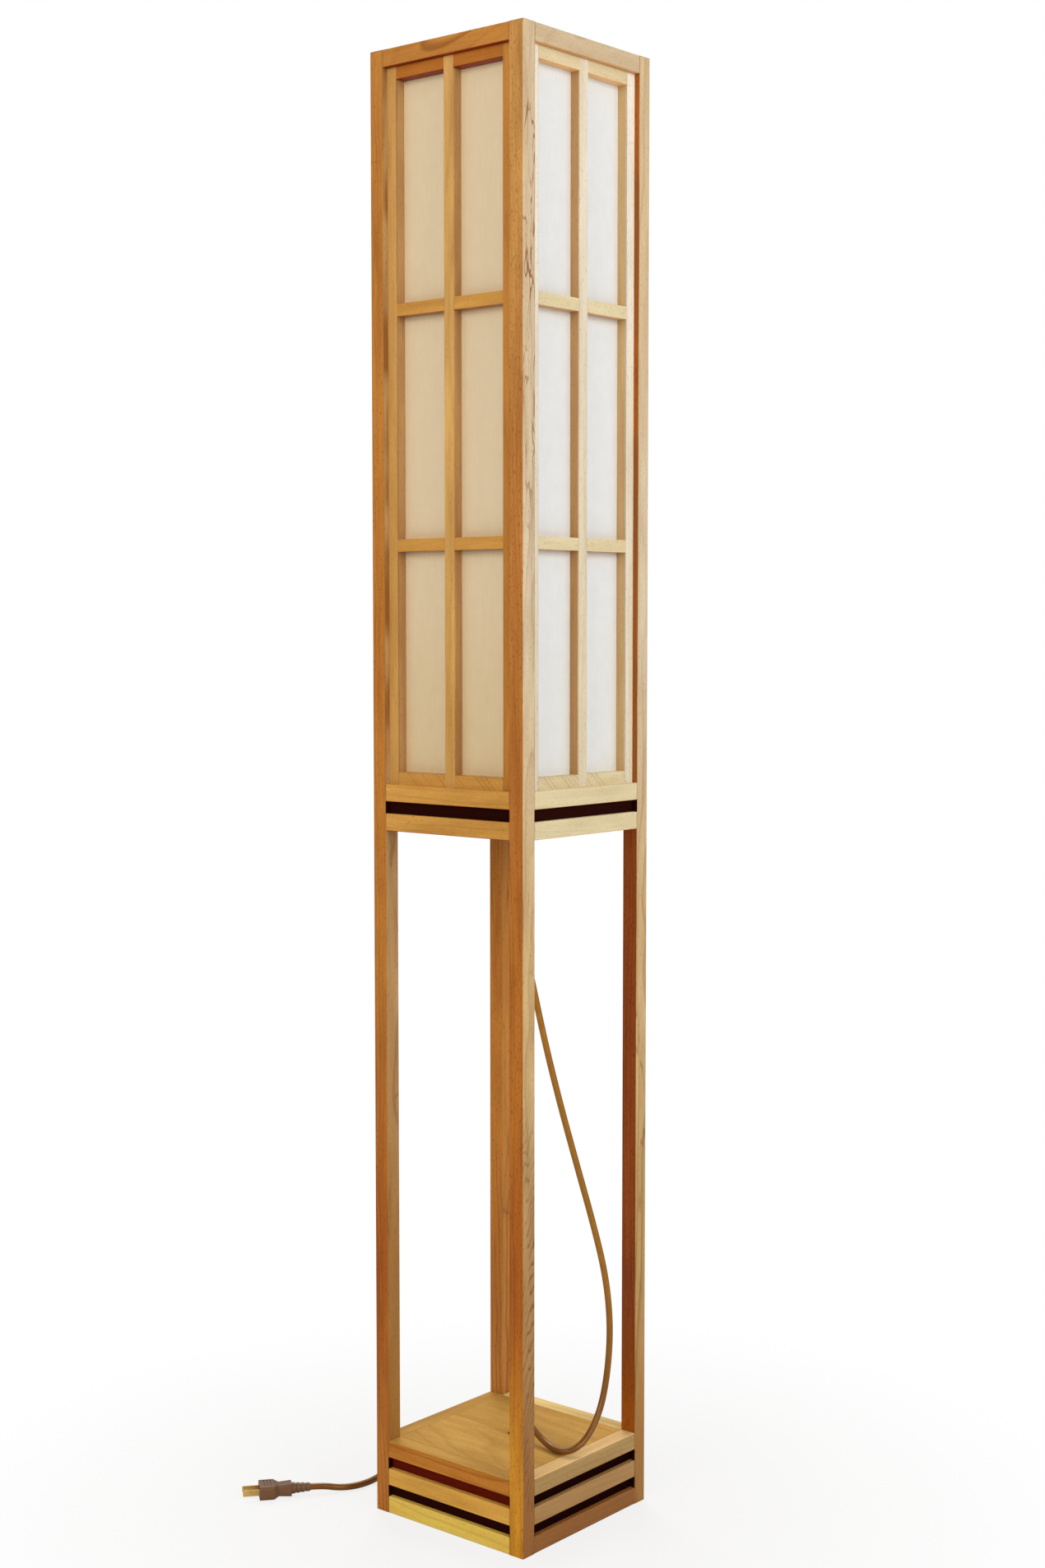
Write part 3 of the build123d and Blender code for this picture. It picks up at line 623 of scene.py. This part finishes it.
# each panel's left and right stile, mullion, cross members, top rail, and the stiles' inner edges;
# warm and deep on the front and pale on the right, partly the boards' own tones and partly painted light;
# the top rail's tone is painted darker as shade, and the inner edges' tones are painted light and shade
PANEL_TONES = {
    "front": ((BUFF, TOFFEE), MAPLE, HONEY, AMBER, TAN),
    "right": ((PEARL, PEARL), IVORY, CREAM, CREAM, STRAW),
    "back": ((HONEY, HONEY), HONEY, HONEY, TOFFEE, TAN),
    "left": ((CREAM, CREAM), CREAM, WHEAT, WHEAT, TAN),
}
for count, (side, (stiles, mullion, cross, top, stile_edge)) in enumerate(PANEL_TONES.items()):
    seed = 40.7 + 4.1 * count
    frame_name = f"panel_{side}_frame"
    lattice_name = f"panel_{side}_lattice"
    dress(frame_name, panel_finish(frame_name, stiles, cross, top, stile_edge, seed + 5))
    dress(lattice_name, panel_finish(lattice_name, (mullion, mullion), cross, top, TAN, seed + 7))


def board_finish(name, colour, seed):
    """A veneered board with a broad cathedral figure: rings cut at a low angle."""
    finish = Finish(name)
    x, y, z = finish.place()
    figure = wood_figure(finish, (y, z, x), seed, ring=0.012, tilt=0.2, pith=(0.01, -0.03), sway=0.04)
    return lacquer(finish, wood_colour(finish, colour, figure, strokes=0.2, life=1.2), figure, WORN)


for count, name in enumerate(("shelf_board", "deck_board", "bottom_board")):
    dress(name, board_finish(name, CARAMEL, 60.3 + 7 * count))


def reveal_finish():
    """Dark red-brown stain with the fibre just showing, and painted light and shade on it: painted lighter
    and redder in the front's upper base slot, and painted nearly black in the right side's base slots."""
    finish = Finish("dark_stain")
    place = finish.place()
    x, y, z = place
    fibre = finish.noise(place, (60, 60, 900), detail=3.0)
    at_strips = PANEL_FACE - 0.004
    # painted light and shade on the one stain: lighter and redder in the front's upper base slot, near black
    # in the right side's base slots
    on_front = finish.rise(y, -at_strips + 0.002, -at_strips) * between(finish, z, *SLOTS[1])
    on_right = finish.rise(x, at_strips - 0.002, at_strips) * (1 - finish.rise(z, SHELF, SHELF + 0.01))
    stain = finish.blend(on_right, finish.blend(on_front, STAIN_AND_SHADE, STAIN_PAINTED_LIT), scaled(STAIN_AND_SHADE, 0.5, 0.35, 0.3))
    colour = finish.blend(fibre, scaled(stain, 0.6, 0.6, 0.6), scaled(stain, 1.6, 1.5, 1.5))
    return finish.surface(finish.principled(Base_Color=colour, Roughness=0.6 + fibre * 0.2,
                                            Specular_IOR_Level=0.02))


dress("reveal_strips", reveal_finish())


# ---------------------------------------------------------------- paper
BESIDE_WOOD = 0.011                                 # how far from the wood the paper is painted deeper as shade
PAPER_FOOT = 0.26                                   # height of the stretch where painted shade deepens it to its foot
PAPER_GLOW = 0.12                                   # share of the light that passes through paper
OPAL_GLOW = 0.35                                    # and through the bulb's glass


def paper_finish(name, side, colour):
    """Shade paper: long fibres and a faint laid pattern, a little light passing through.

    It is painted deeper as shade close to the wood and towards its foot, most of all on the front."""
    finish = Finish(name)
    place = side_axes(finish, side)
    along, up = place[0], place[2]
    laid = finish.noise(place, (900, 900, 40), detail=3.0)
    cloud = finish.noise(place, (60, 60, 60), detail=5.0, roughness=0.65)
    amount = (laid - 0.5) * 0.5 + (cloud - 0.5) * 0.5
    shade = finish.blend(finish.rise(amount, -0.3, 0.3), colour, scaled(colour, 0.93, 0.92, 0.9))
    # painted shade: the paper is darkened near the wood and towards its foot
    wood_across = finish.math("MINIMUM", abs(along) - MEMBER / 2, PANEL_EDGE - abs(along))
    wood_up = finish.math("MINIMUM", *[abs(up - level) - MEMBER / 2 for level in MUNTINS])
    shade_beside_wood = 1 - finish.rise(finish.math("MINIMUM", wood_across, wood_up), 0.0, BESIDE_WOOD)
    shade = finish.blend(shade_beside_wood * 0.6, shade, scaled(shade, 0.93, 0.88, 0.8))
    foot = finish.rise(up, SHADE_FOOT + PAPER_FOOT, SHADE_FOOT)
    shade = finish.blend(foot * (1.0 if side == "front" else 0.2), shade, scaled(shade, 0.93, 0.89, 0.78))
    relief = finish.bump(laid * 0.5 + cloud * 0.5, RELIEF, 0.5)
    face = finish.principled(Base_Color=shade, Roughness=0.85, Normal=relief, Specular_IOR_Level=0.2)
    through = finish.node("ShaderNodeBsdfTranslucent", None, {"Color": shade})
    return finish.surface(finish.mixed(PAPER_GLOW, face, through))


# painted light: one paper, in a tone for each side as the light falls on it, warm and deep on the front and
# white on the right
PAPER_TONES_AS_LIT = (tone(244, 226, 192), tone(247, 249, 250), tone(240, 232, 212), tone(241, 237, 226))
for side, colour in zip(SIDES, PAPER_TONES_AS_LIT):
    dress(f"panel_{side}_paper", paper_finish(f"paper_{side}", side, colour))


# ---------------------------------------------------------------- cord, plastics, metal, ceramic and glass
def cord_finish():
    """Golden-brown cord sheath with a satin shine, painted darker as shade where it lies low."""
    finish = Finish("cord_sheath")
    place = finish.place()
    mottle = finish.noise(place, (90, 90, 90), detail=3.0)
    # painted shade: the cord is darker where it lies on the shelf and the floor
    hung = finish.rise(place[2], 0.06, 0.3)
    golden = finish.blend(mottle, tone(134, 84, 12), tone(166, 110, 24))
    dark = finish.blend(mottle, tone(94, 48, 4), tone(126, 72, 10))
    sheath = finish.principled(Base_Color=finish.blend(hung, dark, golden), Roughness=0.26 + mottle * 0.08,
                               Specular_IOR_Level=0.9, Specular_Tint=(1.0, 0.72, 0.36, 1.0))
    return finish.surface(sheath)


def plastic_finish(name, colour, rough=0.42):
    """Moulded plastic with a fine spark-eroded grain."""
    finish = Finish(name)
    place = finish.place()
    grain = finish.noise(place, (2600, 2600, 2600), detail=1.0)
    wear = finish.noise(place, (70, 70, 70), detail=3.0)
    shade = finish.blend(wear, colour, scaled(colour, 0.8, 0.8, 0.8))
    relief = finish.bump(grain, 0.00006, 0.5)
    return finish.surface(finish.principled(Base_Color=shade, Roughness=rough + wear * 0.12, Normal=relief))


def metal_finish(name, colour, rough=0.28):
    """Bright drawn metal with fine scratches and a little tarnish."""
    finish = Finish(name)
    place = finish.place()
    drawn = finish.noise(place, (300, 300, 2500))
    tarnish = finish.noise(place, (110, 110, 110), detail=4.0)
    shade = finish.blend(finish.rise(tarnish, 0.45, 0.75), colour, scaled(colour, 0.72, 0.65, 0.55))
    rough = rough + drawn * 0.12 + tarnish * 0.1
    return finish.surface(finish.principled(Base_Color=shade, Metallic=1.0, Roughness=rough))


def ceramic_finish():
    """White glazed ceramic, slightly uneven."""
    finish = Finish("glazed_ceramic")
    uneven = finish.noise(finish.place(), (80, 80, 80))
    colour = finish.blend(uneven, tone(238, 236, 229), tone(226, 223, 213))
    relief = finish.bump(uneven, 0.0003, 0.4)
    return finish.surface(finish.principled(Base_Color=colour, Roughness=0.14 + uneven * 0.08, Normal=relief))


def opal_finish():
    """Satin opal glass: milky, with a soft gloss."""
    finish = Finish("opal_glass")
    milk = finish.noise(finish.place(), (40, 40, 40))
    colour = finish.blend(milk, tone(246, 244, 238), tone(238, 236, 228))
    glass = finish.principled(Base_Color=colour, Roughness=0.18 + milk * 0.08, IOR=1.5)
    through = finish.node("ShaderNodeBsdfTranslucent", None, {"Color": colour})
    return finish.surface(finish.mixed(OPAL_GLOW, glass, through))


cord.data.materials.append(cord_finish())
brown_plastic = plastic_finish("brown_plastic", tone(112, 74, 40))
for name in ("cord_bushings", "switch_housing", "plug_body", "cord_tie"):
    dress(name, brown_plastic)
dress("switch_button", plastic_finish("dark_plastic", tone(74, 52, 36), 0.36))
bright_brass = metal_finish("bright_brass", tone(222, 186, 112))
for name in ("plug_blades", "lampholder_shell", "bulb_cap", "bulb_contact"):
    dress(name, bright_brass)
dress("lampholder_screws", metal_finish("plated_steel", tone(196, 196, 192), 0.3))
dress("lampholder", ceramic_finish())
dress("bulb_globe", opal_finish())


# ---------------------------------------------------------------- floor, light and backdrop
WHITE = (1, 1, 1, 1)
FADE = (0.16, 0.7)                                  # distances from the lamp where the shadow thins out
SHADOW = 0.22                                       # share of the floor's own shade near the lamp
AMBIENT = 0.435                                     # strength of the sky as a light; it is seen as white
SOFTBOX = 1.6                                       # side of each soft light


def seen_directly(finish):
    """1 for rays from the camera and through glass, 0 for light that reaches a surface."""
    paths = finish.node("ShaderNodeLightPath")
    return finish.math("MAXIMUM", paths.other("Is Camera Ray"), paths.other("Is Transmission Ray"))


def floor_finish():
    """Pale floor that keeps the lamp's shadow near it and fades to the white backdrop further out."""
    finish = Finish("pale_floor")
    x, y = finish.place()[:2]
    away = finish.math("SQRT", x * x + y * y)
    fade = finish.rise(away, *FADE)
    matt = finish.principled(Base_Color=tone(214, 214, 212), Roughness=0.9)
    white = finish.node("ShaderNodeEmission", None, {"Color": WHITE, "Strength": 1.0})
    share = seen_directly(finish) * (1 - SHADOW + fade * SHADOW)
    return finish.surface(finish.mixed(share, matt, white))


REACH = 12.0                                        # from the lamp to the floor's edges
floor_mesh = bpy.data.meshes.new("floor")
corners = [(-REACH, -REACH, 0), (REACH, -REACH, 0), (REACH, REACH, 0), (-REACH, REACH, 0)]
floor_mesh.from_pydata(corners, [], [(0, 1, 2, 3)])
floor_mesh.materials.append(floor_finish())
floor = bpy.data.objects.new("floor", floor_mesh)
bpy.context.scene.collection.objects.link(floor)

world = bpy.data.worlds.new("studio")
bpy.context.scene.world = world
sky = Finish("studio", world)
ambient = sky.node("ShaderNodeBackground", None, {"Color": WHITE, "Strength": AMBIENT})
backdrop = sky.node("ShaderNodeBackground", None, {"Color": WHITE, "Strength": 1.0})
sky.surface(sky.mixed(seen_directly(sky), ambient, backdrop))


def softbox(name, place, aim, power, colour):
    """A square soft light aimed at a height on the lamp's axis."""
    data = bpy.data.lights.new(name, "AREA")
    data.shape = "SQUARE"
    data.size = SOFTBOX
    data.energy = power
    data.color = colour
    light = bpy.data.objects.new(name, data)
    light.location = place
    light.rotation_euler = (Vector((0, 0, aim)) - Vector(place)).to_track_quat("-Z", "Y").to_euler()
    bpy.context.scene.collection.objects.link(light)


softbox("window", place=(2.9, -0.3, 1.9), aim=1.0, power=45.5, colour=(1.0, 0.99, 0.98))
softbox("room", place=(0.5, -2.9, 2.0), aim=1.0, power=38.5, colour=(1.0, 0.92, 0.82))
softbox("rear", place=(-1.9, 1.7, 3.3), aim=0.9, power=62, colour=(1.0, 0.97, 0.93))

bpy.context.scene.view_settings.view_transform = "Standard"
